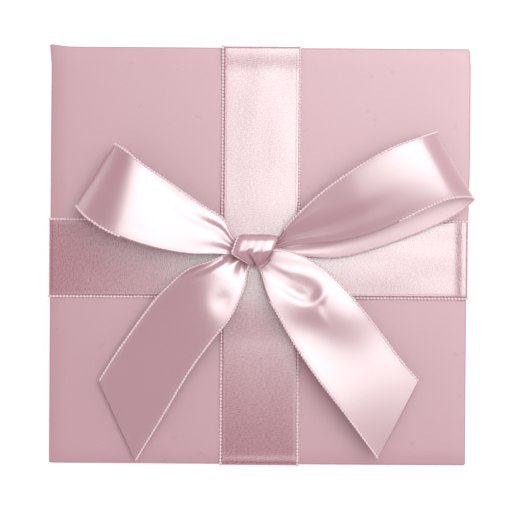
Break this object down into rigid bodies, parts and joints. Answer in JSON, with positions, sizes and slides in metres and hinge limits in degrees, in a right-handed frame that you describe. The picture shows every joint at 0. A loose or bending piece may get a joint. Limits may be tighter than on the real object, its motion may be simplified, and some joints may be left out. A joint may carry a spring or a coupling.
{
  "type": "gift box",
  "caption": "Square paper-covered rigid gift box with a lift-off lid, satin ribbon bands crossing on the lid, and a hand-tied bow on the crossing.",
  "frame": {"origin": "centre of the tray's underside, on the surface that the box stands on", "axes": "+Z up out of the lid, +Y to the back edge that the bow's loops point to, +X to the right seen from above with +Y up"},
  "size_m": [0.1373, 0.1366, 0.0735],
  "materials": {
    "cover_paper": "smooth matte-coated pink covering paper",
    "lining_paper": "uncoated off-white lining paper",
    "greyboard": "raw greyboard",
    "lined_board": "greyboard with an off-white lined inner face",
    "stay_tape": "brown gummed paper tape",
    "satin_ribbon": "single-faced polyester satin with woven edges",
    "clear_tape": "clear double-sided tape",
    "hot_glue": "cloudy hot-melt glue"
  },
  "bodies": {
    "base": {"base_floor_board": "greyboard", "base_front_board": "lined_board", "base_back_board": "lined_board", "base_left_board": "lined_board", "base_right_board": "lined_board", "base_corner_stays": "stay_tape", "base_wrap": "cover_paper", "base_bottom_sheet": "cover_paper", "base_floor_liner": "lining_paper"},
    "lid": {"lid_top_board": "greyboard", "lid_front_board": "lined_board", "lid_back_board": "lined_board", "lid_left_board": "lined_board", "lid_right_board": "lined_board", "lid_corner_stays": "stay_tape", "lid_wrap": "cover_paper", "lid_liner": "lining_paper", "ribbon_across": "satin_ribbon", "ribbon_along": "satin_ribbon", "ribbon_end_tapes": "clear_tape", "bow_glue_dot": "hot_glue", "bow_loop_left": "satin_ribbon", "bow_loop_right": "satin_ribbon", "bow_tail_left": "satin_ribbon", "bow_tail_right": "satin_ribbon", "bow_knot": "satin_ribbon"}
  },
  "joints": [
    {"name": "lid_lift", "type": "slide", "parent": "base", "child": "lid", "axis": [0, 0, 1], "range_m": [0, 0.06]}
  ]
}
